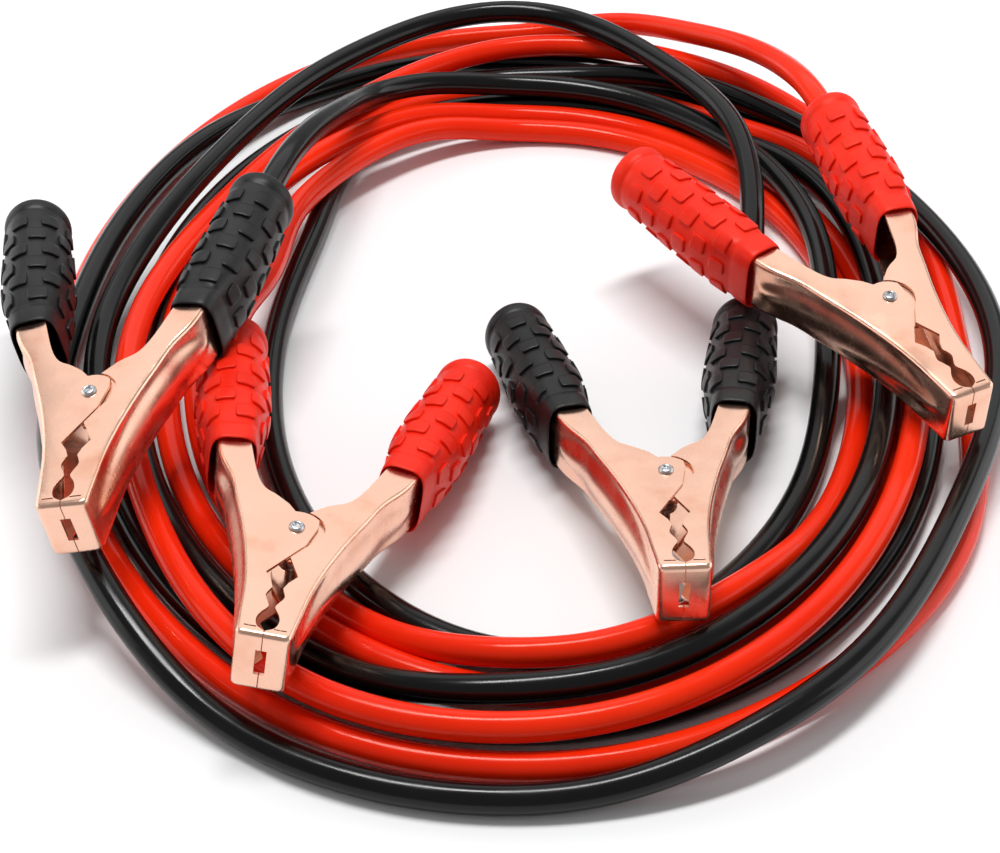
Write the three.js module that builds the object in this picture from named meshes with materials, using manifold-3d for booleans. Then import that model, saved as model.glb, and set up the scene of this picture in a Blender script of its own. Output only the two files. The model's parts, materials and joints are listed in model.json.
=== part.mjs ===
// Jumper cable set: one red and one black cable, four copper-plated spring clamps with rubber grips.
// Millimetres, +Z up, lying coiled on a level floor at z = 0.
import * as THREE from 'three';
import { mergeVertices } from 'three/addons/utils/BufferGeometryUtils.js';
import Module from 'manifold-3d';

const wasm = await Module();
wasm.setup();

// Clamp jaws, pressed from sheet. A clamp's own frame: rivet axis on Z, nose towards +X.
const SHEET = 1.0;
const CHANNEL_HEIGHT = 21;
const CLEARANCE = 0.3;
const NOSE_REACH = 52;
const NOSE_HALF_WIDTH = 8.3;
const SEAM = 0.15;
const WINDOW_WIDTH = 3.3;
const WINDOW_HEIGHT = 9;
const CROTCH_RADIUS = 8;
const LAP_RADIUS = 8.8;

// Rivet and torsion spring
const RIVET_SHANK = 4;
const RIVET_HEAD = 5;
const RIVET_HEAD_HEIGHT = 1.2;
const RIVET_DISH = 0.5;
const SPRING_WIRE = 1.8;
const SPRING_TURNS = 5;
const SPRING_LEG = 24;

// Rubber grips
const GRIP_MOUTH_X = -38;
const GRIP_MOUTH_Y = 27.3;
const GRIP_SPLAY = 11.5;
const GRIP_LENGTH = 75;
const GRIP_RADIUS = 12.4;
const GRIP_BORE = 11.6;
const GRIP_END_WALL = 4;
const GRIP_SIDES = 20;
const TAIL_LENGTH = 44;
const TAIL_WIDTH = 10.6;
// A distance that reaches past a whole clamp
const BEYOND = 60;

// Cables
const CABLE_DIAMETER = 9.5;
const CABLE_SIDES = 8;
const CABLE_INSERT = 14;
const CONDUCTOR_DIAMETER = 5.5;
const CONDUCTOR_LAP = 9.3;

// The coil: an oval of lanes a pitch apart, counted outwards, and three layers of cable
const COIL_CENTRE = new THREE.Vector2(19.6, 50.3);
const COIL_HALF_WIDTH = 99;
const COIL_HALF_DEPTH = 150;
const LANE_PITCH = 10;
const LAYER_HEIGHTS = [4.75, 14.55, 24.45];
const STATION_ANGLE = 30;
const FIRST_STATION_ANGLE = 120;
const STEP_ANGLE = 20;

// How each clamp lies: rivet position, direction of the nose seen from above, nose pitch and roll
const CLAMPS = [
  { name: 'left_black', colour: 'black', cableSide: 1, at: [-120.2, -39.5, 43.75], yaw: -91.5, pitch: -2.9, roll: 9.3 },
  { name: 'left_red', colour: 'red', cableSide: -1, at: [-54.7, -89.7, 29.5], yaw: -96, pitch: 5.5, roll: -8.2 },
  { name: 'middle_black', colour: 'black', cableSide: 1, at: [61.2, -58.7, 25.67], yaw: -87.3, pitch: 6.9, roll: 0 },
  { name: 'right_red', colour: 'red', cableSide: 1, at: [142.1, 21.8, 37.35], yaw: -65.7, pitch: -4.6, roll: 3 },
];

// Each lane and layer that a cable takes, by hand, every STATION_ANGLE clockwise from the first station.
const BLACK_RUN = [
  [2.3, 2], [2.3, 1], [2.4, 1], [2.3, 1], [0.9, 1], [0.7, 0], [0.7, 0], [1.0, 0], [0.4, 0], [-0.1, 0], [-0.5, 0], [-0.2, 0],
  [2.4, 0], [2.5, 0], [3.0, 0], [3.7, 1], [2.9, 1], [2.8, 1], [2.8, 1], [3.2, 1], [3.6, 0], [4.1, 0], [4.4, 0], [4.6, 0],
  [4.6, 0], [4.7, 0], [5.0, 1], [6.0, 1], [6.9, 1], [5.9, 1], [6.4, 1], [6.7, 0], [7.3, 0], [7.4, 2], [6.7, 1], [6.7, 1],
  [6.9, 0], [6.2, 0], [5.6, 0], [5.3, 0], [4.6, 0], [4.4, 0], [4.1, 0], [4.0, 0], [4.7, 0], [5.3, 0], [5.6, 1], [4.4, 2],
  [5.6, 2], [7.2, 2], [3.6, 2],
];
const RED_RUN = [
  [0.6, 1],
  [0.3, 1], [0.2, 0], [0.9, 0], [1.9, 0], [2.0, 0], [1.9, 0], [1.6, 1], [1.8, 1], [1.5, 0], [2.0, 0], [2.2, 0], [2.2, 1],
  [1.5, 1], [1.4, 0], [1.9, 0], [2.9, 0], [3.1, 0], [3.0, 0], [2.5, 0], [2.5, 0], [2.5, 0], [3.1, 0], [3.3, 0], [3.5, 0],
  [3.5, 0], [3.6, 0], [4.1, 0], [4.8, 1], [4.0, 1], [3.9, 1], [4.2, 1], [4.8, 1], [5.4, 1], [4.7, 1], [4.4, 1], [3.3, 1],
  [3.8, 1], [5.8, 1], [6.4, 1], [7.1, 0], [5.7, 0], [6.3, 0], [5.6, 0], [5.5, 0], [6.0, 0], [6.4, 0], [7.1, 0], [7.6, 0],
  [8.3, 0], [8.6, 0],
];
// Points between a grip's end and the coil, in the direction of the run
const BLACK_LEAD_IN = [[-64.4, 121.3, 51.8], [-54.4, 159.3, 39.8]];
const BLACK_LEAD_OUT = [[102.6, 177.3, 25.2], [107.6, 142.3, 21.3], [105.6, 109.3, 15.3]];
const RED_LEAD_IN = [[-77.4, 71.3, 19.8]];
const RED_LEAD_OUT = [[58.6, 277.3, 15.8], [90.6, 247.3, 26.8], [115.6, 213.3, 36.8]];

// Finishes
const finish = (name, color, roughness, metalness) =>
  new THREE.MeshStandardMaterial({ name, color, roughness, metalness });
const COPPER = finish('copper_plate', 0xd9926b, 0.25, 1);
const STEEL = finish('zinc_steel', 0xb9bcc0, 0.35, 1);
const BARE_COPPER = finish('bare_copper', 0xb8673a, 0.4, 1);
const RUBBER = { black: finish('black_rubber', 0x17181a, 0.7, 0), red: finish('red_rubber', 0xc8140c, 0.6, 0) };
const JACKET = { black: finish('black_jacket', 0x0c0c0d, 0.3, 0), red: finish('red_jacket', 0xd41208, 0.3, 0) };

// Solids
function toSolid(geometry) {
  const bare = geometry.clone();
  bare.deleteAttribute('normal');
  bare.deleteAttribute('uv');
  const merged = mergeVertices(bare, 1e-4);
  return new wasm.Manifold(new wasm.Mesh({
    numProp: 3,
    vertProperties: Float32Array.from(merged.attributes.position.array),
    triVerts: Uint32Array.from(merged.index.array),
  }));
}

function toGeometry(solid) {
  const mesh = solid.getMesh();
  const geometry = new THREE.BufferGeometry();
  geometry.setAttribute('position', new THREE.BufferAttribute(mesh.vertProperties, 3));
  geometry.setIndex(new THREE.BufferAttribute(mesh.triVerts, 1));
  geometry.computeVertexNormals();
  return geometry;
}

function prism(points, zLow, zHigh) {
  const shape = new THREE.Shape(points.map(([x, y]) => new THREE.Vector2(x, y)));
  const geometry = new THREE.ExtrudeGeometry(shape, { depth: zHigh - zLow, bevelEnabled: false });
  geometry.translate(0, 0, zLow);
  return toSolid(geometry);
}

function cylinder(radius, zLow, zHigh, sides = 24) {
  const geometry = new THREE.CylinderGeometry(radius, radius, zHigh - zLow, sides);
  geometry.rotateX(Math.PI / 2);
  geometry.translate(0, 0, (zLow + zHigh) / 2);
  return toSolid(geometry);
}

// Points on an arc round the rivet, angles in degrees
function arc(radius, from, to, count) {
  return Array.from({ length: count + 1 }, (_, i) => {
    const angle = THREE.MathUtils.degToRad(from + (to - from) * i / count);
    return [radius * Math.cos(angle), radius * Math.sin(angle)];
  });
}

// Jaw outline, seen from above, for the jaw on the -Y side
const TOP = CHANNEL_HEIGHT / 2;
const splay = THREE.MathUtils.degToRad(GRIP_SPLAY);
const gripAlong = [-Math.cos(splay), -Math.sin(splay)];
const gripAcross = [Math.sin(splay), -Math.cos(splay)];

function onGrip(along, across) {
  return [
    GRIP_MOUTH_X + gripAlong[0] * along + gripAcross[0] * across,
    -GRIP_MOUTH_Y + gripAlong[1] * along + gripAcross[1] * across,
  ];
}

const OUTER_EDGE = [
  [-30, -30], [-20, -24.5], [-10, -21], [0, -17.5], [10, -14.5], [20, -12], [30, -10.2], [40, -9.2],
  [NOSE_REACH - 1.5, -NOSE_HALF_WIDTH],
];
const EAR_EDGE = [[8, 4.2], [2, 5.5], [-2, 6.4]];
// Teeth as distances back from the nose and depths below the seam
const TEETH = [
  [2, SEAM], [3.8, 2.6], [7, 3.4], [10, 2.6], [13, 1], [15, 1.6], [18, 2.8], [20.4, 2.2], [22, 1.6], [25, 2.6],
  [28.5, 4.8],
];
const INNER_EDGE = [[-11, -4.4], [-14.5, -9], [-17, -13], [-22, -16.2]];

function jawOutline() {
  const tailHalf = TAIL_WIDTH / 2;
  return [
    onGrip(TAIL_LENGTH, tailHalf), onGrip(0, tailHalf),
    ...OUTER_EDGE,
    [NOSE_REACH, -NOSE_HALF_WIDTH + 1.5], [NOSE_REACH, -SEAM],
    ...TEETH.map(([back, depth]) => [NOSE_REACH - back, -depth]), ...EAR_EDGE,
    ...arc(CROTCH_RADIUS, 130, 193, 3),
    ...INNER_EDGE,
    onGrip(0, -tailHalf), onGrip(TAIL_LENGTH, -tailHalf),
  ];
}

// The space between the two side plates, open towards the other jaw
function channelSpace() {
  const edge = OUTER_EDGE.map(([x, y]) => [x - 0.2 * SHEET, y + SHEET]);
  const inside = TAIL_WIDTH / 2 - SHEET;
  return prism([
    onGrip(TAIL_LENGTH + 5, inside), onGrip(0, inside),
    ...edge.slice(0, -1),
    [NOSE_REACH - SHEET, -NOSE_HALF_WIDTH + SHEET], [NOSE_REACH - SHEET, BEYOND],
    onGrip(TAIL_LENGTH + 5, -BEYOND),
  ], -TOP + SHEET, TOP - SHEET);
}

// The area where the other jaw's ear turns, grown by a margin
function lapArea(grow, zLow, zHigh) {
  return prism([
    [24.6 + grow, 4.8], [8.2 + grow * 0.6, -4.9 - grow],
    ...arc(LAP_RADIUS + grow, -60, -180, 8),
    [-LAP_RADIUS - grow, 30], [24.6 + grow, 30],
  ], zLow, zHigh);
}

// A jaw on the -Y side. The nested one has its ears set one sheet inwards, under the other jaw's ears.
function jawSolid(nested) {
  const full = prism(jawOutline(), -TOP, TOP);
  let jaw = full.subtract(channelSpace());
  if (nested) {
    const step = SHEET + CLEARANCE;
    jaw = jaw.subtract(lapArea(0, -TOP - 1, TOP + 1));
    for (const side of [-1, 1]) {
      const levels = [side * (TOP - step - SHEET), side * (TOP - step)].sort((a, b) => a - b);
      const wall = [side * (TOP - step - SHEET), side * TOP].sort((a, b) => a - b);
      jaw = jaw.add(full.intersect(lapArea(SHEET, ...levels)));
      jaw = jaw.add(full.intersect(lapArea(SHEET, ...wall).subtract(lapArea(0, -TOP - 1, TOP + 1))));
    }
  }
  const tail = cylinder(GRIP_BORE - CLEARANCE, -TAIL_LENGTH - 10, 2, GRIP_SIDES)
    .rotate([0, 90, 0])
    .rotate([0, 0, GRIP_SPLAY])
    .translate([GRIP_MOUTH_X, -GRIP_MOUTH_Y, 0]);
  const ahead = prism([
    onGrip(-0.5, BEYOND), onGrip(-0.5, -BEYOND), [NOSE_REACH + 10, BEYOND], [NOSE_REACH + 10, -BEYOND],
  ], -TOP - 1, TOP + 1);
  jaw = jaw.intersect(ahead.add(tail));
  jaw = jaw.subtract(cylinder(RIVET_SHANK / 2 + CLEARANCE, -TOP - 1, TOP + 1));
  const window = new THREE.BoxGeometry(4 * SHEET, WINDOW_WIDTH, WINDOW_HEIGHT);
  window.translate(NOSE_REACH, 0, 0);
  return jaw.subtract(toSolid(window));
}

// Left jaws carry the outer ears. Right jaws are the mirror image, with the nested ears.
const leftJaw = jawSolid(false);
const rightJaw = jawSolid(true).mirror([0, 1, 0]);

function gripGeometry(closed) {
  const length = GRIP_LENGTH;
  const hole = closed ? 0 : (CABLE_DIAMETER / 2 + CLEARANCE) / Math.cos(Math.PI / GRIP_SIDES);
  const outline = [
    [GRIP_BORE, 0], [GRIP_RADIUS, 0], [GRIP_RADIUS + 0.1, 7], [GRIP_RADIUS + 0.4, 9], [GRIP_RADIUS + 0.9, 34],
    [GRIP_RADIUS + 0.3, 66], [GRIP_RADIUS - 0.3, 68], [GRIP_RADIUS + 0.5, 70], [GRIP_RADIUS + 0.2, length - 2],
    [GRIP_RADIUS - 2, length],
    [hole, length], [hole, length - GRIP_END_WALL], [GRIP_BORE, length - GRIP_END_WALL - 1],
  ];
  outline.push(outline[0]);
  const profile = outline.map(([radius, along]) => new THREE.Vector2(radius, along));
  return new THREE.LatheGeometry(profile, GRIP_SIDES);
}

function rivetGeometry() {
  const shank = RIVET_SHANK / 2;
  const head = RIVET_HEAD / 2;
  const under = TOP + CLEARANCE;
  const over = under + RIVET_HEAD_HEIGHT;
  const half = [
    [shank, under], [head, under], [head, under + 0.5], [head * 0.75, over], [head * 0.5, over],
    [head * 0.3, over - RIVET_DISH], [0, over - RIVET_DISH],
  ];
  const lower = half.map(([radius, along]) => [radius, -along]).reverse();
  const profile = [...lower, ...half].map(([radius, along]) => new THREE.Vector2(radius, along));
  const geometry = new THREE.LatheGeometry(profile, 16);
  geometry.rotateX(Math.PI / 2);
  return geometry;
}

// The spring's coil as a sleeve of its outer shape, with its two straight legs
function springSolid() {
  const inner = RIVET_SHANK / 2 + CLEARANCE;
  const middle = inner + SPRING_WIRE / 2;
  const height = SPRING_WIRE * SPRING_TURNS;
  let spring = cylinder(inner + SPRING_WIRE, -height / 2, height / 2, 20);
  for (const side of [-1, 1]) {
    const leg = new THREE.CylinderGeometry(SPRING_WIRE / 2, SPRING_WIRE / 2, SPRING_LEG + 3, 8);
    leg.rotateZ(Math.PI / 2);
    leg.translate(-(SPRING_LEG + 3) / 2 + 3, 0, side * (height - SPRING_WIRE) / 2);
    leg.rotateZ(side * THREE.MathUtils.degToRad(-44));
    leg.translate(0, side * middle, 0);
    spring = spring.add(toSolid(leg));
  }
  return spring.subtract(cylinder(inner, -height, height, 20));
}

// A bare conductor end, from the cable's end into the channel at the tail of the jaw
function conductorGeometry() {
  const radius = CONDUCTOR_DIAMETER / 2;
  const back = GRIP_LENGTH - CABLE_INSERT - CLEARANCE;
  const front = TAIL_LENGTH - CONDUCTOR_LAP;
  const geometry = new THREE.CylinderGeometry(radius, radius, back - front, 12);
  geometry.translate(0, (front + back) / 2, 0);
  return geometry;
}

function place(geometry, material, name, parent) {
  const mesh = new THREE.Mesh(geometry, material);
  mesh.name = name;
  parent.add(mesh);
  return mesh;
}

// A grip's frame: +Y of its lathe runs from the mouth to the end
function gripFrame(side) {
  const group = new THREE.Group();
  group.position.set(GRIP_MOUTH_X, side * GRIP_MOUTH_Y, 0);
  group.rotation.z = side > 0 ? Math.PI / 2 - splay : Math.PI / 2 + splay;
  return group;
}

function buildClamp({ name, colour, cableSide, at, yaw, pitch, roll }) {
  const clamp = new THREE.Group();
  clamp.position.set(...at);
  clamp.rotation.set(
    THREE.MathUtils.degToRad(roll), THREE.MathUtils.degToRad(-pitch), THREE.MathUtils.degToRad(yaw), 'ZYX');
  const sides = [[-1, leftJaw], [1, rightJaw]];
  for (const [side, solid] of sides) {
    const role = side === cableSide ? 'cable' : 'free';
    place(toGeometry(solid), COPPER, `${name}_${role}_jaw`, clamp);
    const frame = gripFrame(side);
    place(gripGeometry(side !== cableSide), RUBBER[colour], `${name}_${role}_grip`, frame);
    if (side === cableSide) {
      place(conductorGeometry(), BARE_COPPER, `${name}_conductor`, frame);
    }
    clamp.add(frame);
  }
  place(rivetGeometry(), STEEL, `${name}_rivet`, clamp);
  place(toGeometry(springSolid()), STEEL, `${name}_spring`, clamp);
  clamp.updateMatrixWorld(true);
  return clamp;
}

// A point on the axis of a clamp's cable-side grip, measured from its mouth
function gripPoint(clampName, along) {
  const { cableSide } = CLAMPS.find(({ name }) => name === clampName);
  const frame = gripFrame(cableSide);
  frame.updateMatrix();
  return new THREE.Vector3(0, along, 0)
    .applyMatrix4(frame.matrix)
    .applyMatrix4(clamps[clampName].matrixWorld);
}

// Where a run is at a station, or between two: the lane on a smooth curve, the height on an eased ramp
function runPoint(run, offset, at) {
  const before = Math.min(Math.floor(at), run.length - 2);
  const part = at - before;
  const lanes = [-1, 0, 1, 2].map((k) => run[THREE.MathUtils.clamp(before + k, 0, run.length - 1)][0]);
  const slope = [(lanes[2] - lanes[0]) / 2, (lanes[3] - lanes[1]) / 2];
  const lane = lanes[1] + slope[0] * part
    + (3 * (lanes[2] - lanes[1]) - 2 * slope[0] - slope[1]) * part ** 2
    + (2 * (lanes[1] - lanes[2]) + slope[0] + slope[1]) * part ** 3;
  const [low, high] = [before, before + 1].map((k) => LAYER_HEIGHTS[run[k][1]]);
  const angle = THREE.MathUtils.degToRad(FIRST_STATION_ANGLE - STATION_ANGLE * (at + offset));
  return new THREE.Vector3(
    COIL_CENTRE.x + (COIL_HALF_WIDTH + LANE_PITCH * lane) * Math.cos(angle),
    COIL_CENTRE.y + (COIL_HALF_DEPTH + LANE_PITCH * lane) * Math.sin(angle),
    low + (high - low) * (1 - Math.cos(Math.PI * part)) / 2,
  );
}

// A route made of straight steps, so that cables beside each other bend at the same angles
class SteppedRoute extends THREE.Curve {
  constructor(points) {
    super();
    this.points = points;
  }

  getPointAt(u, target = new THREE.Vector3()) {
    return target.copy(this.points[Math.round(u * (this.points.length - 1))]);
  }

  getTangentAt(u, target = new THREE.Vector3()) {
    const index = Math.round(u * (this.points.length - 1));
    const before = this.points[Math.max(index - 1, 0)];
    const after = this.points[Math.min(index + 1, this.points.length - 1)];
    return target.copy(after).sub(before).normalize();
  }
}

// Route of one cable from grip to grip
function cableRoute({ from, to, leadIn, run, offset, leadOut }) {
  const vectors = (list) => list.map((point) => new THREE.Vector3(...point));
  const start = [-CABLE_INSERT, 1, 18].map((beyond) => gripPoint(from, GRIP_LENGTH + beyond));
  const end = [18, 1, -CABLE_INSERT].map((beyond) => gripPoint(to, GRIP_LENGTH + beyond));
  const stride = STEP_ANGLE / STATION_ANGLE;
  const coil = [];
  const ahead = Math.ceil(offset / stride) * stride - offset;
  for (let at = ahead; at < run.length - 1 + stride / 2; at += stride) {
    coil.push(runPoint(run, offset, Math.min(at, run.length - 1)));
  }
  return new SteppedRoute([...start, ...vectors(leadIn), ...coil, ...vectors(leadOut), ...end]);
}

function cableGeometry(route) {
  const section = new THREE.Shape(Array.from({ length: CABLE_SIDES }, (_, i) => {
    const angle = 2 * Math.PI * i / CABLE_SIDES;
    return new THREE.Vector2(Math.cos(angle), Math.sin(angle)).multiplyScalar(CABLE_DIAMETER / 2);
  }));
  return new THREE.ExtrudeGeometry(section, { steps: route.points.length - 1, extrudePath: route });
}

const set = new THREE.Group();
const clamps = {};
for (const entry of CLAMPS) {
  clamps[entry.name] = buildClamp(entry);
  set.add(clamps[entry.name]);
}

const ROUTES = {
  black_cable: cableRoute({
    from: 'left_black', to: 'middle_black',
    leadIn: BLACK_LEAD_IN, run: BLACK_RUN, offset: 0, leadOut: BLACK_LEAD_OUT,
  }),
  red_cable: cableRoute({
    from: 'left_red', to: 'right_red',
    leadIn: RED_LEAD_IN, run: RED_RUN, offset: -1, leadOut: RED_LEAD_OUT,
  }),
};
place(cableGeometry(ROUTES.black_cable), JACKET.black, 'black_cable', set);
place(cableGeometry(ROUTES.red_cable), JACKET.red, 'red_cable', set);

export default set;
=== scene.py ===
# %% [markdown]
# # A jumper cable set, dressed
# Two glossy cables lie in one loose oval coil, and four copper-plated clamps with rubber grips rest on it.
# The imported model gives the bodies, the hinges and the room that each piece may fill. This lesson gives
# every piece its visible surface: smooth cables, folded sheet jaws, ribbed grips, wound springs.

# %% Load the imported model
import json
import math

import bmesh
import bpy
from mathutils import Euler, Matrix, Vector


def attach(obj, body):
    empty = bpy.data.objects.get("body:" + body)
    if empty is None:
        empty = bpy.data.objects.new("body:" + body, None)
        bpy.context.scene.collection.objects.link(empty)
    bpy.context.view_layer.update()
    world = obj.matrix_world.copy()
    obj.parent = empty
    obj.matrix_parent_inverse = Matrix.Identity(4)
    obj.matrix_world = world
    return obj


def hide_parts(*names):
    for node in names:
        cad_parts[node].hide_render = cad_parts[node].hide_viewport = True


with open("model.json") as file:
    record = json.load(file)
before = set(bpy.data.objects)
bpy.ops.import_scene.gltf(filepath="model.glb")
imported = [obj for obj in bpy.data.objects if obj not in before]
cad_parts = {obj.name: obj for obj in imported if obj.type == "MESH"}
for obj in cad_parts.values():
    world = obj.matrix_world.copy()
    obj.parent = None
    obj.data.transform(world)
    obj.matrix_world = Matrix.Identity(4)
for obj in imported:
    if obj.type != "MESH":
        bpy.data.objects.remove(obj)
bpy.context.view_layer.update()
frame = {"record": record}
MM = 0.001

# %% [markdown]
# ## The camera
# The photograph looks down at the coil from the side of the clamps' noses, from about arm's length. A lens of
# moderate length keeps the far side of the oval clearly smaller than the near side, as it is there.

# %% Camera
CAMERA_TARGET = Vector((8.6, 9.3, 0)) * MM
CAMERA_DISTANCE = 739.2 * MM
CAMERA_ELEVATION = math.radians(38.88)
CAMERA_LENS = 75.6

camera_data = bpy.data.cameras.new("camera")
camera_data.lens = CAMERA_LENS
camera_data.sensor_width = 36
camera = bpy.data.objects.new("camera", camera_data)
bpy.context.collection.objects.link(camera)
camera.location = CAMERA_TARGET + CAMERA_DISTANCE * Vector(
    (0, -math.cos(CAMERA_ELEVATION), math.sin(CAMERA_ELEVATION)))
camera.rotation_euler = (math.pi / 2 - CAMERA_ELEVATION, 0, 0)
bpy.context.scene.camera = camera
print("camera at", [round(x, 3) for x in camera.location])

# %% [markdown]
# ## Where the clamps lie
# Each clamp has a frame of its own: the rivet stands on its Z axis and the nose points along its X axis.
# "turn" is the direction of the nose seen from above, then its pitch and its roll, in degrees. The same
# places are in the solids, so a cable ends exactly inside its grip.

# %% Clamp places
CLAMPS = {
    "left_black": {"at": (-120.2, -39.5, 43.75), "turn": (-91.5, -2.9, 9.3), "cable_side": 1},
    "left_red": {"at": (-54.7, -89.7, 29.5), "turn": (-96, 5.5, -8.2), "cable_side": -1},
    "middle_black": {"at": (61.2, -58.7, 25.67), "turn": (-87.3, 6.9, 0), "cable_side": 1},
    "right_red": {"at": (142.1, 21.8, 37.35), "turn": (-65.7, -4.6, 3), "cable_side": 1},
}
GRIP_MOUTH = (-38, 27.3)
GRIP_SPLAY = math.radians(11.5)
GRIP_LENGTH = 75


def clamp_place(name):
    """The matrix from a clamp's own millimetres to the scene's metres."""
    yaw, pitch, roll = (math.radians(angle) for angle in CLAMPS[name]["turn"])
    turn = Euler((roll, -pitch, yaw), "XYZ").to_matrix().to_4x4()
    return Matrix.Translation(Vector(CLAMPS[name]["at"]) * MM) @ turn @ Matrix.Scale(MM, 4)


def grip_place(name, side):
    """The matrix from a grip's own frame, +Z from mouth to end, to the scene."""
    x, y = GRIP_MOUTH
    lean = Matrix.Rotation(side * -GRIP_SPLAY, 4, "Z") @ Matrix.Rotation(-math.pi / 2, 4, "Y")
    return clamp_place(name) @ Matrix.Translation((x, side * y, 0)) @ lean


for name in CLAMPS:
    print(name, "rivet at", [round(x, 4) for x in clamp_place(name).translation])

# %% [markdown]
# ## The cables' route
# A coiled cable is easiest to describe as lanes of an oval. Every thirty degrees the cable takes a lane,
# counted outwards, and a layer. Between two stations the lane follows a cubic and the height an eased ramp,
# so one cable climbs over another in a long low hump. The whole line is then stepped evenly and relaxed,
# because a stiff cable has no kinks.

# %% Route of each cable
CABLE_DIAMETER = 9.5 * MM
CABLE_INSERT = 14
COIL_CENTRE = (19.6, 50.3)
COIL_HALF_WIDTH = 99
COIL_HALF_DEPTH = 150
LANE_PITCH = 10
LAYER_HEIGHTS = (4.75, 14.55, 24.45)
STATION_ANGLE = 30
FIRST_STATION_ANGLE = 120
SAMPLES_PER_STATION = 5
LEAD_SAMPLES = 8
GRIP_EXIT_POINTS = (1, 18)
CABLE_STEP = 4
RELAX_ROUNDS = 14
HELD_POINTS = 4
BLACK_RUN = [
    (2.3, 2), (2.3, 1), (2.4, 1), (2.3, 1), (0.9, 1), (0.7, 0),
    (0.7, 0), (1.0, 0), (0.4, 0), (-0.1, 0), (-0.5, 0), (-0.2, 0),
    (2.4, 0), (2.5, 0), (3.0, 0), (3.7, 1), (2.9, 1), (2.8, 1),
    (2.8, 1), (3.2, 1), (3.6, 0), (4.1, 0), (4.4, 0), (4.6, 0),
    (4.6, 0), (4.7, 0), (5.0, 1), (6.0, 1), (6.9, 1), (5.9, 1),
    (6.4, 1), (6.7, 0), (7.3, 0), (7.4, 2), (6.7, 1), (6.7, 1),
    (6.9, 0), (6.2, 0), (5.6, 0), (5.3, 0), (4.6, 0), (4.4, 0),
    (4.1, 0), (4.0, 0), (4.7, 0), (5.3, 0), (5.6, 1), (4.4, 2),
    (5.6, 2), (7.2, 2), (3.6, 2),
]
RED_RUN = [
    (0.6, 1),
    (0.3, 1), (0.2, 0), (0.9, 0), (1.9, 0), (2.0, 0), (1.9, 0),
    (1.6, 1), (1.8, 1), (1.5, 0), (2.0, 0), (2.2, 0), (2.2, 1),
    (1.5, 1), (1.4, 0), (1.9, 0), (2.9, 0), (3.1, 0), (3.0, 0),
    (2.5, 0), (2.5, 0), (2.5, 0), (3.1, 0), (3.3, 0), (3.5, 0),
    (3.5, 0), (3.6, 0), (4.1, 0), (4.8, 1), (4.0, 1), (3.9, 1),
    (4.2, 1), (4.8, 1), (5.4, 1), (4.7, 1), (4.4, 1), (3.3, 1),
    (3.8, 1), (5.8, 1), (6.4, 1), (7.1, 0), (5.7, 0), (6.3, 0),
    (5.6, 0), (5.5, 0), (6.0, 0), (6.4, 0), (7.1, 0), (7.6, 0),
    (8.3, 0), (8.6, 0),
]
BLACK_LEAD_IN = [(-64.4, 121.3, 51.8), (-54.4, 159.3, 39.8)]
BLACK_LEAD_OUT = [(102.6, 177.3, 25.2), (107.6, 142.3, 21.3), (105.6, 109.3, 15.3)]
RED_LEAD_IN = [(-77.4, 71.3, 19.8)]
RED_LEAD_OUT = [(58.6, 277.3, 15.8), (90.6, 247.3, 26.8), (115.6, 213.3, 36.8)]


def run_point(run, offset, at):
    """Where a run is at a station, or between two."""
    before = min(int(at), len(run) - 2)
    part = at - before
    lanes = [run[min(max(before + k, 0), len(run) - 1)][0] for k in (-1, 0, 1, 2)]
    slope = ((lanes[2] - lanes[0]) / 2, (lanes[3] - lanes[1]) / 2)
    lane = (lanes[1] + slope[0] * part
            + (3 * (lanes[2] - lanes[1]) - 2 * slope[0] - slope[1]) * part ** 2
            + (2 * (lanes[1] - lanes[2]) + slope[0] + slope[1]) * part ** 3)
    low, high = LAYER_HEIGHTS[run[before][1]], LAYER_HEIGHTS[run[before + 1][1]]
    angle = math.radians(FIRST_STATION_ANGLE - STATION_ANGLE * (at + offset))
    return Vector((
        COIL_CENTRE[0] + (COIL_HALF_WIDTH + LANE_PITCH * lane) * math.cos(angle),
        COIL_CENTRE[1] + (COIL_HALF_DEPTH + LANE_PITCH * lane) * math.sin(angle),
        low + (high - low) * (1 - math.cos(math.pi * part)) / 2,
    ))


def smooth_points(points, count):
    """A smooth line through the points, leaving out the first and the last span."""
    points = [Vector(point) for point in points]
    knots = [0.0]
    for a, b in zip(points, points[1:]):
        knots.append(knots[-1] + math.sqrt((b - a).length))
    line = []
    for i in range(1, len(points) - 2):
        p, t = points[i - 1:i + 3], knots[i - 1:i + 3]
        for k in range(count):
            at = t[1] + (t[2] - t[1]) * k / count
            a = [p[j].lerp(p[j + 1], (at - t[j]) / (t[j + 1] - t[j])) for j in range(3)]
            b = [a[j].lerp(a[j + 1], (at - t[j]) / (t[j + 2] - t[j])) for j in range(2)]
            line.append(b[0].lerp(b[1], (at - t[1]) / (t[2] - t[1])))
    return line + [points[-2]]


def grip_point(name, along):
    """A point on the axis of a clamp's cable-side grip, in millimetres."""
    return grip_place(name, CLAMPS[name]["cable_side"]) @ Vector((0, 0, along)) / MM


def even_steps(points):
    """The same line with points a fixed step apart."""
    line = [points[0]]
    left = CABLE_STEP
    for a, b in zip(points, points[1:]):
        span = (b - a).length
        while span >= left:
            line.append(a.lerp(b, left / span))
            a, span, left = line[-1], span - left, CABLE_STEP
        left -= span
    return line + [points[-1]]


def relaxed(points):
    """A stiff cable rounds off every kink; only the ends held in the grips keep their place."""
    held = HELD_POINTS
    for _ in range(RELAX_ROUNDS):
        neighbours = zip(points[held - 1:-held - 1], points[held:-held], points[held + 1:-held + 1])
        inner = [0.25 * a + 0.5 * b + 0.25 * c for a, b, c in neighbours]
        points = points[:held] + inner + points[-held:]
    return points


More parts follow.
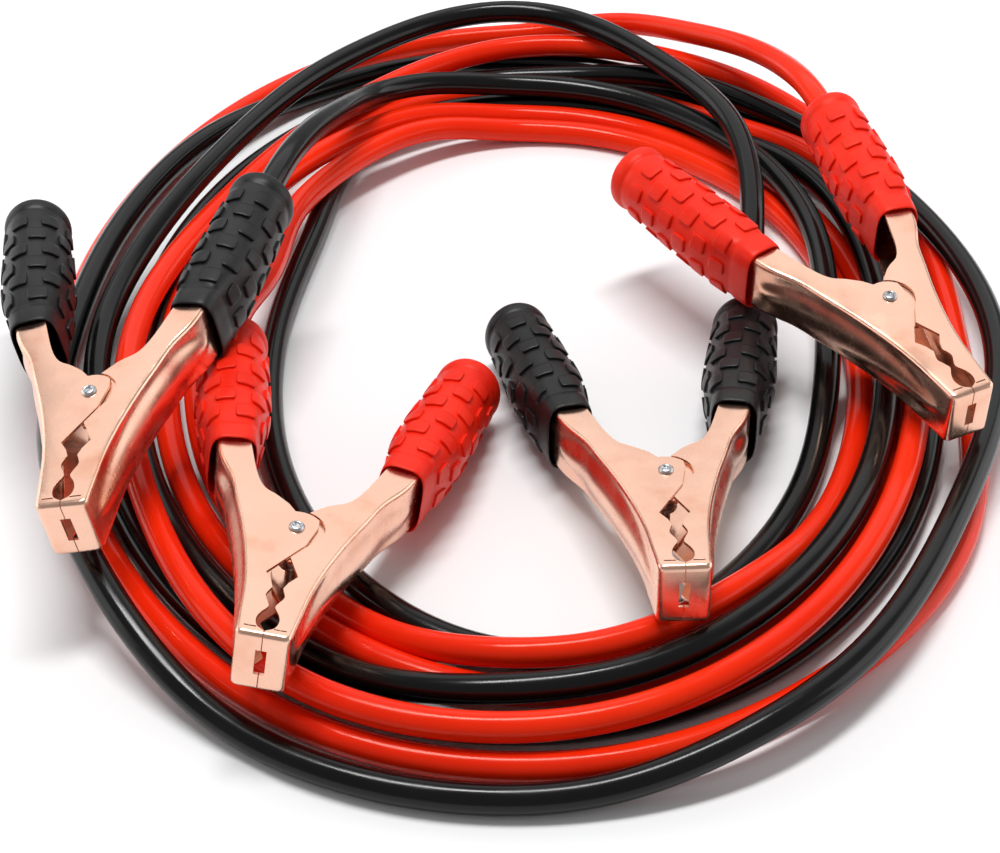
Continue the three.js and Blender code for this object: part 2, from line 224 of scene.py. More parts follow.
def cable_points(start, end, lead_in, run, offset, lead_out):
    """The whole line of a cable in metres, from inside one grip to inside the other."""
    count = (len(run) - 1) * SAMPLES_PER_STATION + 1
    coil = [run_point(run, offset, k / SAMPLES_PER_STATION) for k in range(count)]
    near = (-2 * CABLE_INSERT, -CABLE_INSERT, *GRIP_EXIT_POINTS)
    entry = [grip_point(start, GRIP_LENGTH + beyond) for beyond in near]
    leave = [grip_point(end, GRIP_LENGTH + beyond) for beyond in reversed(near)]
    inset = SAMPLES_PER_STATION // 2
    head = smooth_points([*entry, *lead_in, coil[0], coil[inset]], LEAD_SAMPLES)
    tail = smooth_points([coil[-1 - inset], coil[-1], *lead_out, *leave], LEAD_SAMPLES)
    return [point * MM for point in relaxed(even_steps(head[:-1] + coil + tail[1:]))]


CABLES = {
    "black": cable_points("left_black", "middle_black", BLACK_LEAD_IN, BLACK_RUN, 0, BLACK_LEAD_OUT),
    "red": cable_points("left_red", "right_red", RED_LEAD_IN, RED_RUN, -1, RED_LEAD_OUT),
}

# %% [markdown]
# ## Materials: small building blocks
# Each finish is a node tree made by code. Noise on Object coordinates keeps a pattern fixed to the piece,
# at a real scale in metres, whichever way the camera looks.

# %% Material helpers
NOISE_MIDDLE = (0.3, 0.7)


def new_material(name, **sockets):
    material = bpy.data.materials.new(name)
    material.use_nodes = True
    tree = material.node_tree
    shader = tree.nodes["Principled BSDF"]
    for socket, value in sockets.items():
        shader.inputs[socket.replace("_", " ")].default_value = value
    return material, tree, shader


def noise(tree, scale, detail, stretch=(1, 1, 1)):
    coordinates = tree.nodes.new("ShaderNodeTexCoord")
    mapping = tree.nodes.new("ShaderNodeMapping")
    mapping.inputs["Scale"].default_value = stretch
    texture = tree.nodes.new("ShaderNodeTexNoise")
    texture.inputs["Scale"].default_value = scale
    texture.inputs["Detail"].default_value = detail
    tree.links.new(coordinates.outputs["Object"], mapping.inputs["Vector"])
    tree.links.new(mapping.outputs["Vector"], texture.inputs["Vector"])
    return texture.outputs["Fac"]


def ramp(tree, factor, *stops):
    """Each stop is (position, colour), in order."""
    node = tree.nodes.new("ShaderNodeValToRGB")
    node.color_ramp.elements[0].position = stops[0][0]
    node.color_ramp.elements[0].color = stops[0][1]
    node.color_ramp.elements[1].position = stops[-1][0]
    node.color_ramp.elements[1].color = stops[-1][1]
    for position, colour in stops[1:-1]:
        node.color_ramp.elements.new(position).color = colour
    tree.links.new(factor, node.inputs["Fac"])
    return node.outputs["Color"]


def map_range(tree, factor, low, high):
    """Spreads the middle part of a noise over the range from low to high."""
    node = tree.nodes.new("ShaderNodeMapRange")
    node.inputs["From Min"].default_value, node.inputs["From Max"].default_value = NOISE_MIDDLE
    node.inputs["To Min"].default_value = low
    node.inputs["To Max"].default_value = high
    tree.links.new(factor, node.inputs["Value"])
    return node.outputs["Result"]


def bump(tree, shader, *layers):
    """Each layer is (height, distance in metres, strength); the next stands on the last."""
    normal = None
    for height, distance, strength in layers:
        node = tree.nodes.new("ShaderNodeBump")
        node.inputs["Distance"].default_value = distance
        node.inputs["Strength"].default_value = strength
        tree.links.new(height, node.inputs["Height"])
        if normal:
            tree.links.new(normal, node.inputs["Normal"])
        normal = node.outputs["Normal"]
    tree.links.new(normal, shader.inputs["Normal"])


print("material helpers ready")

# %% [markdown]
# ## The cable jacket
# A soft vinyl jacket is smooth and glossy, but never perfectly even: the strand inside shows as very faint
# waves, and handling leaves dull patches. Two bumps and a varied roughness do it. The red jacket tints its
# own highlights a little, which keeps it a full red under white lamps.

# %% Jacket material
def jacket_material(name, dark, light, tint):
    material, tree, shader = new_material(name, Specular_IOR_Level=0.3, Specular_Tint=(*tint, 1))
    patches = noise(tree, 18, 4)
    tree.links.new(ramp(tree, patches, (0.3, dark), (0.7, light)), shader.inputs["Base Color"])
    tree.links.new(map_range(tree, noise(tree, 60, 5), 0.14, 0.24), shader.inputs["Roughness"])
    bump(tree, shader, (noise(tree, 70, 2), 0.0009, 0.1), (noise(tree, 2200, 2), 0.0001, 0.1))
    return material


NO_TINT = (1, 1, 1)
RED_TINT = (1, 0.6, 0.5)
JACKETS = {
    "black": jacket_material("black_jacket", (0.002, 0.002, 0.002, 1), (0.005, 0.005, 0.005, 1), NO_TINT),
    "red": jacket_material("red_jacket", (0.80, 0.016, 0.002, 1), (0.90, 0.028, 0.004, 1), RED_TINT),
}
print("jackets:", ", ".join(material.name for material in JACKETS.values()))

# %% [markdown]
# ## The cables
# One open curve with a round section is a whole cable. It follows the route above, so its length is the
# real one, and it runs from inside one clamp's grip to inside the other's.

# %% Cables
CABLE_SECTION = 6
CABLE_ENDS = {"black": ("left_black", "middle_black"), "red": ("left_red", "right_red")}


def curve_object(name, lines, radius, resolution, material):
    """A piece made of round wires, one along each line."""
    data = bpy.data.curves.new(name, "CURVE")
    data.dimensions = "3D"
    data.bevel_depth = radius
    data.bevel_resolution = resolution
    data.use_fill_caps = True
    for line in lines:
        spline = data.splines.new("POLY")
        spline.points.add(len(line) - 1)
        for point, place in zip(spline.points, line):
            point.co = (*place, 1)
        spline.use_smooth = True
    data.materials.append(material)
    piece = bpy.data.objects.new(name, data)
    bpy.context.collection.objects.link(piece)
    return piece


for colour, points in CABLES.items():
    start, end = CABLE_ENDS[colour]
    cable = curve_object(f"{colour}_cord", [points], CABLE_DIAMETER / 2, CABLE_SECTION, JACKETS[colour])
    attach(cable, "set")
    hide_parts(f"{colour}_cable")
    print(cable.name, "from", start, "to", end)

# %% [markdown]
# ## Copper plating
# The jaws are steel sheet with a bright copper plating. Metal colour comes almost only from what it mirrors,
# so the roughness matters most: broad soft mirrors, fine drawing lines from the press, a few dull smudges,
# and a warmer brown where the plating is thin.

# %% Metal materials
def copper_material():
    material, tree, shader = new_material("copper_plate", Metallic=1.0)
    blotches = noise(tree, 45, 6)
    colour = ramp(tree, blotches, (0.25, (0.85, 0.43, 0.29, 1)), (0.42, (0.96, 0.58, 0.43, 1)),
                  (0.75, (0.98, 0.63, 0.48, 1)))
    tree.links.new(colour, shader.inputs["Base Color"])
    tree.links.new(map_range(tree, noise(tree, 120, 6), 0.2, 0.32), shader.inputs["Roughness"])
    bump(tree, shader, (noise(tree, 40, 2), 0.0003, 0.12), (noise(tree, 900, 3, (1, 6, 6)), 0.00002, 0.2))
    return material


def zinc_material():
    material, tree, shader = new_material("zinc_steel", Metallic=1.0)
    grey = ramp(tree, noise(tree, 300, 4), (0.3, (0.42, 0.43, 0.45, 1)), (0.7, (0.72, 0.73, 0.75, 1)))
    tree.links.new(grey, shader.inputs["Base Color"])
    tree.links.new(map_range(tree, noise(tree, 500, 4), 0.18, 0.4), shader.inputs["Roughness"])
    bump(tree, shader, (noise(tree, 1500, 2), 0.00005, 0.3))
    return material


def strand_material():
    material, tree, shader = new_material("bare_copper", Metallic=1.0)
    brown = ramp(tree, noise(tree, 400, 4), (0.3, (0.30, 0.10, 0.05, 1)), (0.7, (0.72, 0.34, 0.20, 1)))
    tree.links.new(brown, shader.inputs["Base Color"])
    tree.links.new(map_range(tree, noise(tree, 700, 3), 0.3, 0.5), shader.inputs["Roughness"])
    return material


COPPER = copper_material()
ZINC = zinc_material()
STRAND = strand_material()
print("metals:", COPPER.name, ZINC.name, STRAND.name)

# %% [markdown]
# ## Mesh helpers
# Every mesh piece is shaped in its own small frame in millimetres. Its points are moved to their place at
# the end, so the finished object itself stays at the origin.

# %% Mesh helpers
def finish_mesh(name, bm, place, material, sharp_angle=35):
    """Turns a finished shape into a piece. Edges above the angle, in degrees, stay sharp."""
    bm.transform(place)
    bmesh.ops.recalc_face_normals(bm, faces=bm.faces)
    for face in bm.faces:
        face.smooth = True
    for edge in bm.edges:
        edge.smooth = len(edge.link_faces) == 2 and edge.calc_face_angle() < math.radians(sharp_angle)
    data = bpy.data.meshes.new(name)
    bm.to_mesh(data)
    bm.free()
    data.materials.append(material)
    piece = bpy.data.objects.new(name, data)
    bpy.context.collection.objects.link(piece)
    return piece


def dress(piece, node):
    """The piece stands for a node, and rides on the body that the node is in."""
    bodies = frame["record"]["behaviour"]["bodies"]
    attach(piece, next(body for body, nodes in bodies.items() if node in nodes))
    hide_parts(node)


def arc(radius, start, end, count, centre=(0, 0)):
    """Points on an arc, angles in degrees."""
    angles = [math.radians(start + (end - start) * i / count) for i in range(count + 1)]
    return [(centre[0] + radius * math.cos(a), centre[1] + radius * math.sin(a)) for a in angles]


print("mesh helpers ready")

# %% [markdown]
# ## The jaws
# A jaw is one sheet of steel: two side plates joined by a long back wall and a short nose wall. Its outline
# is drawn flat, extruded to the height of the channel, and the walls that the sheet doesn't have are
# deleted. The folds are bevelled, a long leaf-shaped rib is pressed into the back, the nose gets its
# window, and the sheet gets its thickness last.

# %% Jaw outline
SHEET = 1.0
TOP = 10.5
NOSE_REACH = 52
NOSE_HALF_WIDTH = 8.3
NOSE_CORNER = 2.2
SEAM = 0.15
TAIL_LENGTH = 44
TAIL_HALF_WIDTH = 5.3
CROTCH_RADIUS = 8
LAP_RADIUS = 8.8
CLEARANCE = 0.3
BACK_EDGE = [
    (-30, -30), (-20, -24.5), (-10, -21), (0, -17.5), (10, -14.5), (20, -12), (30, -10.2), (40, -9.2),
    (46, -8.6),
]
BITE_EDGE = [
    (50, -SEAM), (48.2, -2.6), (45, -3.4), (42, -2.6), (39, -1), (37, -1.6), (34, -2.8), (31.6, -2.2),
    (30, -1.6),
]
NOTCH_EDGE = [(27, -2.6), (23.5, -4.8)]
EAR_EDGE = [(8, 4.2), (2, 5.5), (-2, 6.4)]
CROTCH_EDGE = [(-11, -4.4), (-14.5, -9), (-17, -13), (-22, -16.2)]
LAP_EDGE = [(14.9, -0.9), (8.2, -4.9)]
NESTED_EAR_TIP = [(15.5, -0.5)]
NESTED_EAR_FOOT = [(8.2, -6.2), (15.8, -1.8)]
NESTED_EAR_POINTS = 9


def on_grip(along, across):
    """A flat point on the tail, measured along the grip from its mouth and across it."""
    x, y = GRIP_MOUTH
    return (x - math.cos(GRIP_SPLAY) * along + math.sin(GRIP_SPLAY) * across,
            -y - math.sin(GRIP_SPLAY) * along - math.cos(GRIP_SPLAY) * across)


def smooth_outline(points, count):
    """A smooth line through flat points, with both ends kept."""
    flat = [Vector((*point, 0)) for point in points]
    ends = [2 * flat[0] - flat[1], *flat, 2 * flat[-1] - flat[-2]]
    return [tuple(point[:2]) for point in smooth_points(ends, count)]


tail_edge = [on_grip(along, TAIL_HALF_WIDTH) for along in (TAIL_LENGTH, 12, 0)]
back_line = smooth_outline([*tail_edge, *BACK_EDGE], 5)
nose_line = arc(NOSE_CORNER, -90, 0, 4, (NOSE_REACH - NOSE_CORNER, -NOSE_HALF_WIDTH + NOSE_CORNER))
walls_line = back_line + nose_line + [(NOSE_REACH, -SEAM)]
bite_line = smooth_outline(BITE_EDGE, 4) + NOTCH_EDGE
crotch_line = arc(CROTCH_RADIUS, 130, 193, 6)
crotch_line += smooth_outline([*CROTCH_EDGE, on_grip(0, -TAIL_HALF_WIDTH)], 4)
crotch_line += [on_grip(TAIL_LENGTH, -TAIL_HALF_WIDTH)]
print("jaw outline:", len(walls_line) + len(bite_line) + len(EAR_EDGE) + len(crotch_line), "points")

# %% Jaw sheet
FOLD_RADIUS = 1.5
RIB_RISE = 2.3
RIB_SPAN = (-34, 46)
RIB_HALF_HEIGHT = 8.8
RIB_ROW = 1.15
RIB_ROWS = 7
BACK_WALL_REACH = -8
WINDOW_HALF = (1.65, 4.5)
SLIT = ((48.5, 49.0), (-6.2, -2.6))


def plates_and_walls(bm, outline, wall_count, height):
    """Extrudes the outline up, and leaves only the walls between its first wall_count points."""
    corners = [bm.verts.new((x, y, -height)) for x, y in outline]
    floor = bm.faces.new(corners)
    walls = set(corners[:wall_count])
    extruded = bmesh.ops.extrude_face_region(bm, geom=[floor], use_keep_orig=True)["geom"]
    lifted = [item for item in extruded if isinstance(item, bmesh.types.BMVert)]
    bmesh.ops.translate(bm, verts=lifted, vec=(0, 0, 2 * height))
    sides = [face for face in bm.faces if len(face.verts) == 4 and abs(face.normal.z) < 0.5]
    bare = [face for face in sides if len(walls.intersection(face.verts)) < 2]
    bmesh.ops.delete(bm, geom=bare, context="FACES_ONLY")


def cut(bm, where, point, normal):
    """Cuts the faces that a test picks by a plane."""
    faces = [face for face in bm.faces if where(face)]
    geom = faces + list({e for f in faces for e in f.edges}) + list({v for f in faces for v in f.verts})
    bmesh.ops.bisect_plane(bm, geom=geom, plane_co=point, plane_no=normal)


def drop_faces(bm, where):
    bmesh.ops.delete(bm, geom=[face for face in bm.faces if where(face)], context="FACES")


def press_rib(bm):
    """Moves the back wall out in the shape of a long leaf."""
    for row in range(-RIB_ROWS, RIB_ROWS + 1):
        cut(bm, lambda face: abs(face.normal.z) < 0.5, (0, 0, row * RIB_ROW), (0, 0, 1))
    bm.normal_update()
    low, high = RIB_SPAN
    moves = []
    for vert in bm.verts:
        part = (vert.co.x - low) / (high - low)
        if not 0 < part < 1 or vert.co.y > BACK_WALL_REACH or abs(vert.co.z) > TOP - FOLD_RADIUS:
            continue
        half = RIB_HALF_HEIGHT * math.sin(math.pi * part ** 0.8) ** 0.5
        across = min(1.0, abs(vert.co.z) / half)
        fade = math.sin(math.pi * part) ** 0.5
        moves.append((vert, vert.normal * RIB_RISE * fade * (1 - across ** 2) ** 1.6))
    for vert, move in moves:
        vert.co += move


def cut_nose(bm):
    """The window in the nose wall, and a slit in each plate near the nose."""
    half_width, half_height = WINDOW_HALF
    front = lambda face: face.calc_center_median().x > NOSE_REACH - 0.2 and abs(face.normal.x) > 0.9
    cut(bm, front, (0, -half_width, 0), (0, 1, 0))
    for level in (-half_height, half_height):
        cut(bm, front, (0, 0, level), (0, 0, 1))
    drop_faces(bm, lambda face: front(face) and face.calc_center_median().y > -half_width
               and abs(face.calc_center_median().z) < half_height)
    plate = lambda face: abs(face.normal.z) > 0.9 and face.calc_center_median().x > -60
    (x_low, x_high), (y_low, y_high) = SLIT
    for reach in (x_low, x_high):
        cut(bm, plate, (reach, 0, 0), (1, 0, 0))
    strip = lambda face: plate(face) and x_low < face.calc_center_median().x < x_high
    for level in (y_low, y_high):
        cut(bm, strip, (0, level, 0), (0, 1, 0))
    drop_faces(bm, lambda face: strip(face) and y_low < face.calc_center_median().y < y_high)


def fold_edges(bm):
    """The edges between a side plate and a wall."""
    return [edge for edge in bm.edges if len(edge.link_faces) == 2
            and sum(abs(face.normal.z) > 0.9 for face in edge.link_faces) == 1]


def jaw_mesh(name, nested, place):
    """The jaw on the -Y side. The nested one's ears are set one sheet inwards, under the other's ears."""
    bm = bmesh.new()
    if nested:
        lap_line = LAP_EDGE + arc(LAP_RADIUS, -60, -163, 8)
        outline = walls_line + bite_line + lap_line + crotch_line[NESTED_EAR_POINTS:]
    else:
        outline = walls_line + bite_line + EAR_EDGE + crotch_line
    plates_and_walls(bm, outline, len(walls_line), TOP)
    bm.normal_update()
    bmesh.ops.bevel(bm, geom=fold_edges(bm), offset=FOLD_RADIUS, segments=4, profile=0.5, affect="EDGES",
                    material=-1, clamp_overlap=True)
    press_rib(bm)
    cut_nose(bm)
    if nested:
        ear = NESTED_EAR_TIP + EAR_EDGE + crotch_line[:NESTED_EAR_POINTS]
        ear += arc(LAP_RADIUS + SHEET, -163, -60, 8) + NESTED_EAR_FOOT
        step = TOP - SHEET - CLEARANCE
        for level in (-step, step):
            bm.faces.new([bm.verts.new((x, y, level)) for x, y in ear])
    bmesh.ops.recalc_face_normals(bm, faces=bm.faces)
    bmesh.ops.solidify(bm, geom=bm.faces[:], thickness=SHEET)
    return finish_mesh(name, bm, place, COPPER)


print("jaw shapes ready")

# %% Make the jaws
MIRROR = Matrix.Diagonal((1, -1, 1, 1))
SHEET_EDGE_ROUNDING = 0.12 * MM
for name, clamp in CLAMPS.items():
    for side in (-1, 1):
        role = "cable" if side == clamp["cable_side"] else "free"
        place = clamp_place(name) @ (MIRROR if side == 1 else Matrix.Identity(4))
        jaw = jaw_mesh(f"{name}_{role}_jaw_sheet", side == 1, place)
        rounding = jaw.modifiers.new("sheet_edge", "BEVEL")
        rounding.width = SHEET_EDGE_ROUNDING
        rounding.segments = 2
        rounding.limit_method = "ANGLE"
        rounding.angle_limit = math.radians(50)
        dress(jaw, f"{name}_{role}_jaw")
    print(name, "jaws:", len(jaw.data.polygons), "faces each")

# %% [markdown]
# ## Rubber
# Moulded rubber has a broad, dull highlight. A fine grain and faint flow marks come from noise, and the red
# compound tints its highlights as the red jacket does.

# %% Rubber materials
def rubber_material(name, dark, light, roughness, tint):
    material, tree, shader = new_material(name, Specular_IOR_Level=0.35, Specular_Tint=(*tint, 1))
    tree.links.new(ramp(tree, noise(tree, 70, 6), (0.3, dark), (0.72, light)), shader.inputs["Base Color"])
    tree.links.new(map_range(tree, noise(tree, 160, 5), *roughness), shader.inputs["Roughness"])
    bump(tree, shader, (noise(tree, 150, 3), 0.0005, 0.2), (noise(tree, 1800, 3), 0.00012, 0.35))
    return material


BLACK_RUBBER = ((0.004, 0.004, 0.0045, 1), (0.011, 0.011, 0.0115, 1), (0.34, 0.48), NO_TINT)
RED_RUBBER = ((0.76, 0.012, 0.003, 1), (0.88, 0.024, 0.006, 1), (0.36, 0.5), RED_TINT)
RUBBERS = {
    "black": rubber_material("black_rubber", *BLACK_RUBBER),
    "red": rubber_material("red_rubber", *RED_RUBBER),
}
print("rubbers:", ", ".join(material.name for material in RUBBERS.values()))

# %% [markdown]
# ## The grips
# A grip is a moulded sleeve: a plain band at the mouth, six rows of raised pads in a brick pattern, a groove
# and a rounded collar at the end. The sleeve is one spun profile. Each pad is a patch of its faces, pulled
# out and creased, and a subdivision surface rounds everything as a mould would. At the mouth the channel
# inside stretches the round sleeve into a rounded box.

# %% Grip sleeve
GRIP_RADIUS = 12.4
GRIP_BORE = 11.6
GRIP_END_WALL = 4
GRIP_COLUMNS = 49
PAD_ROWS = 6
PADS_AROUND = 7
PAD_COLUMNS = 4
PAD_START = 11
PAD_PITCH = 9.1
PAD_LENGTH = 6.4
PAD_RISE = 0.9
PAD_CREASE = 0.75
VALLEY_DEPTH = 0.1
SWELL_RISE = 0.9
SWELL_LENGTH = 62
MOUTH_FLATTENING = 0.38
BODY_FLATTENING = 0.08
FLATTENED_LENGTH = 32
COLLAR_START = 67.5


def swell(along):
    """The radius between the pads: slimmer at the mouth, fullest in the middle third."""
    part = min(1.0, along / SWELL_LENGTH)
    return GRIP_RADIUS - VALLEY_DEPTH + SWELL_RISE * math.sin(math.pi * part) ** 1.2


def grip_profile(closed):
    """The sleeve's section as (radius, distance from the mouth): outside, end, inside."""
    outside, back = GRIP_RADIUS, GRIP_LENGTH
    outer = [(outside, 0), (outside + 0.35, 0.8), (outside + 0.45, 4), (outside + 0.45, 7.5),
             (outside - 0.1, 8.6)]
    for row in range(PAD_ROWS):
        start = PAD_START + row * PAD_PITCH
        outer += [(swell(along), along) for along in (start, start + PAD_LENGTH / 2, start + PAD_LENGTH)]
    outer += [(swell(65), COLLAR_START - 1.2), (outside - 0.5, COLLAR_START),
              (outside + 0.5, COLLAR_START + 1.2), (outside + 0.6, back - 3), (outside - 0.6, back - 0.8)]
    hole = 0 if closed else CABLE_DIAMETER / MM / 2 + 0.15
    end = [(outside - 3, back), (hole + 3, back + (0.3 if closed else 0)), (hole, back)]
    floor = back - GRIP_END_WALL
    inner = [(hole, floor), (GRIP_BORE - 1, floor), (GRIP_BORE, floor - 2), (GRIP_BORE, 30), (GRIP_BORE, 1),
             (GRIP_BORE + 0.3, 0)]
    return outer + end + inner


def flattened(point):
    """The sleeve is stretched over the channel: boxy at the mouth, round again further back."""
    back = min(1.0, point.z / FLATTENED_LENGTH)
    back = back * back * (3 - 2 * back)
    narrow = 1 - MOUTH_FLATTENING + (MOUTH_FLATTENING - BODY_FLATTENING) * back
    power = 4 - 2 * back
    reach = point.xy.length
    if reach < 1e-6:
        return point
    across, along = abs(point.x / reach), abs(point.y / reach) / narrow
    scale = (across ** power + along ** power) ** (-1 / power)
    return Vector((point.x * scale, point.y * scale, point.z))


def spin_round(bm, geom, sides):
    """Spins a profile once round the Z axis."""
    bmesh.ops.spin(bm, geom=geom, cent=(0, 0, 0), axis=(0, 0, 1), angle=2 * math.pi, steps=sides,
                   use_merge=True)
    bmesh.ops.remove_doubles(bm, verts=bm.verts, dist=1e-4)


def grip_mesh(name, closed, place, material):
    """A sleeve with its pads. A closed one ends in a plain wall, the other has a hole for its cable."""
    bm = bmesh.new()
    ring = [bm.verts.new((radius, 0, along)) for radius, along in grip_profile(closed)]
    pairs = zip(ring, ring[1:] + ring[:1])
    edges = [bm.edges.new(pair) for pair in pairs if pair[0].co.x or pair[1].co.x]
    spin_round(bm, ring + edges, GRIP_COLUMNS)
    bmesh.ops.recalc_face_normals(bm, faces=bm.faces)
    crease = bm.edges.layers.float.new("crease_edge")
    column_angle = 2 * math.pi / GRIP_COLUMNS
    columns_each = GRIP_COLUMNS // PADS_AROUND
    for row in range(PAD_ROWS):
        start = PAD_START + row * PAD_PITCH
        stagger = (row % 2) * (columns_each // 2)
        pads = {}
        for face in bm.faces:
            centre = face.calc_center_median()
            if not start < centre.z < start + PAD_LENGTH or centre.xy.length < GRIP_BORE + 0.3:
                continue
            turned = math.atan2(centre.y, centre.x) % (2 * math.pi)
            column = (int(turned / column_angle) - stagger) % GRIP_COLUMNS
            pad, place_in_pad = divmod(column, columns_each)
            if place_in_pad < PAD_COLUMNS:
                pads.setdefault(pad, []).append(face)
        for faces in pads.values():
            raised = bmesh.ops.extrude_face_region(bm, geom=faces)["geom"]
            verts = [item for item in raised if isinstance(item, bmesh.types.BMVert)]
            for vert in verts:
                vert.co += PAD_RISE * Vector((vert.co.x, vert.co.y, 0)).normalized()
            top = {item for item in raised if isinstance(item, bmesh.types.BMFace)}
            for edge in {edge for face in top for edge in face.edges}:
                if not top.issuperset(edge.link_faces):
                    edge[crease] = PAD_CREASE
    for vert in bm.verts:
        vert.co = flattened(vert.co)
    piece = finish_mesh(name, bm, place, material, sharp_angle=180)
    rounding = piece.modifiers.new("rounding", "SUBSURF")
    rounding.levels = 2
    rounding.render_levels = 2
    return piece


for name, clamp in CLAMPS.items():
    for side in (-1, 1):
        role = "cable" if side == clamp["cable_side"] else "free"
        colour = name.split("_")[1]
        place = grip_place(name, side)
        grip = grip_mesh(f"{name}_{role}_grip_sleeve", role == "free", place, RUBBERS[colour])
        dress(grip, f"{name}_{role}_grip")
    print(name, "grips:", len(grip.data.polygons), "faces each before rounding")

# %% [markdown]
# ## Rivets, springs and bare ends
# The rivet's rolled head is a spun profile with a dish. The spring is real wound wire, and the bare ends are
# twisted strands: both are curves with a round section, like the cables.

# %% Rivets
RIVET_SHANK = 2.0
RIVET_HEAD = 2.45
RIVET_GAP = 0.05
RIVET_SIDES = 32
RIVET_PROFILE = [
    (RIVET_SHANK, 0), (RIVET_HEAD, 0), (RIVET_HEAD + 0.05, 0.3), (RIVET_HEAD * 0.9, 0.8),
    (RIVET_HEAD * 0.72, 1.15), (RIVET_HEAD * 0.6, 1.1), (RIVET_HEAD * 0.42, 0.5),
    (RIVET_HEAD * 0.2, 0.55), (0, 0.6),
]


def rivet_mesh(name, place):
    """The shank with a rolled head at each end."""
    bm = bmesh.new()
    upper = [(radius, TOP + RIVET_GAP + along) for radius, along in RIVET_PROFILE]
    lower = [(radius, -along) for radius, along in reversed(upper)]
    line = [bm.verts.new((radius, 0, along)) for radius, along in lower + upper]
    edges = [bm.edges.new(pair) for pair in zip(line, line[1:])]
    spin_round(bm, line + edges, RIVET_SIDES)
    return finish_mesh(name, bm, place, ZINC, sharp_angle=50)


for name in CLAMPS:
    dress(rivet_mesh(f"{name}_rivet_head", clamp_place(name)), f"{name}_rivet")
print("rivets:", len(CLAMPS))

# %% Springs and bare conductor ends
SPRING_WIRE = 1.8
SPRING_TURNS = 5
SPRING_RADIUS = RIVET_SHANK + CLEARANCE + SPRING_WIRE / 2
SPRING_LEG = 24
SPRING_LEG_ANGLE = 44
SPRING_WIRE_SEEN = 0.97 * SPRING_WIRE
COIL_SIDES = 24
CONDUCTOR_RADIUS = 2.75
CONDUCTOR_SPAN = (35, 60)
STRANDS = 9
STRAND_RADIUS = CONDUCTOR_RADIUS * 0.33
STRAND_RING = CONDUCTOR_RADIUS * 0.66
STRAND_STEPS = 24


def spring_line():
    """The wire from the tip of one leg, round the rivet, to the tip of the other."""
    half = SPRING_WIRE * (SPRING_TURNS - 1) / 2
    first, last = 90 - SPRING_LEG_ANGLE, SPRING_LEG_ANGLE - 90 - 360 * (SPRING_TURNS - 1)
    count = COIL_SIDES * SPRING_TURNS
    coil = [Vector((x, y, half - 2 * half * i / count))
            for i, (x, y) in enumerate(arc(SPRING_RADIUS, first, last, count))]
    lean = math.radians(SPRING_LEG_ANGLE)
    upper, lower = [SPRING_LEG * Vector((-math.cos(lean), side * math.sin(lean), 0)) for side in (1, -1)]
    return [coil[0] + upper, *coil, coil[-1] + lower]


def strands_lines():
    """One strand in the middle and the others twisted half a turn round it."""
    low, high = CONDUCTOR_SPAN
    lines = []
    for strand in range(STRANDS):
        radius = STRAND_RING if strand else 0
        line = []
        for step in range(STRAND_STEPS + 1):
            along = step / STRAND_STEPS
            angle = 2 * math.pi * (strand / (STRANDS - 1) + 0.5 * along)
            around = (radius * math.cos(angle), radius * math.sin(angle))
            line.append(Vector((*around, low + (high - low) * along)))
        lines.append(line)
    return lines


for name, clamp in CLAMPS.items():
    place = clamp_place(name)
    wire = [place @ point for point in spring_line()]
    spring = curve_object(f"{name}_spring_wire", [wire], SPRING_WIRE_SEEN / 2 * MM, 4, ZINC)
    dress(spring, f"{name}_spring")
    side = clamp["cable_side"]
    strands = [[grip_place(name, side) @ point for point in line] for line in strands_lines()]
    conductor = curve_object(f"{name}_strands", strands, STRAND_RADIUS * MM, 3, STRAND)
    dress(conductor, f"{name}_conductor")
print("springs:", len(CLAMPS), "with", SPRING_TURNS, "turns; strands in each bare end:", STRANDS)

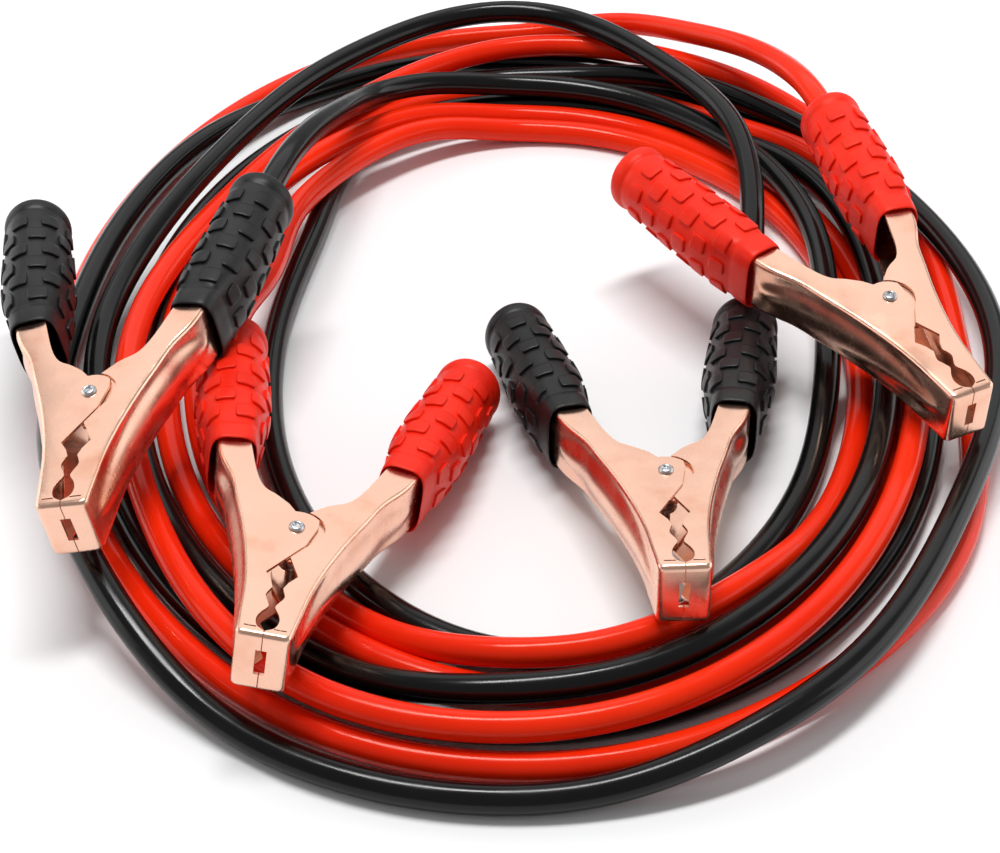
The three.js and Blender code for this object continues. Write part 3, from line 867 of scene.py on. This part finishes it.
# %% [markdown]
# ## Floor and light
# The photograph has a bright white table and large soft lamps. Glossy cables show the lamp's own shape, so a
# long narrow lamp overhead gives them a crisp line of light. The flat copper plates mirror the wide lamp
# behind the coil, and a low wide lamp on each side lights the jaws' ribs.

# %% Studio
TABLE_HALF_SIZE = 6
LAMPS = {
    "overhead": {"place": (-0.1, 0.2, 1.5), "aim": (0, 0, 0), "size": (0.9, 0.22), "power": 19},
    "back": {"place": (0, 1.3, 1.05), "aim": (0, 0, 0), "size": (2.2, 1.0), "power": 5.5},
    "left": {"place": (-1.3, 0.3, 0.4), "aim": (0, 0, 0.05), "size": (1.6, 0.8), "power": 5.5},
    "right": {"place": (1.3, 0.3, 0.4), "aim": (0, 0, 0.05), "size": (1.6, 0.8), "power": 5.5},
}
WORLD_STRENGTH = 0.3


def studio_floor():
    bm = bmesh.new()
    bmesh.ops.create_grid(bm, x_segments=1, y_segments=1, size=TABLE_HALF_SIZE)
    floor_finish, tree, shader = new_material("white_table", Roughness=0.55)
    white = ramp(tree, noise(tree, 3, 3), (0.2, (0.86, 0.86, 0.87, 1)), (0.8, (0.9, 0.9, 0.9, 1)))
    tree.links.new(white, shader.inputs["Base Color"])
    finish_mesh("table", bm, Matrix.Identity(4), floor_finish)


def soft_lamp(name, place, aim, size, power):
    data = bpy.data.lights.new(name, "AREA")
    data.shape = "RECTANGLE"
    data.size, data.size_y = size
    data.energy = power
    lamp = bpy.data.objects.new(name, data)
    bpy.context.collection.objects.link(lamp)
    lamp.location = place
    lamp.rotation_euler = (Vector(aim) - Vector(place)).to_track_quat("-Z", "Y").to_euler()


studio_floor()
for name, lamp in LAMPS.items():
    soft_lamp(name, **lamp)
world = bpy.data.worlds.new("studio")
world.use_nodes = True
world.node_tree.nodes["Background"].inputs["Color"].default_value = (1, 1, 1, 1)
world.node_tree.nodes["Background"].inputs["Strength"].default_value = WORLD_STRENGTH
bpy.context.scene.world = world
bpy.context.scene.view_settings.view_transform = "Standard"
print("lamps:", len(LAMPS), "and a world of strength", WORLD_STRENGTH)
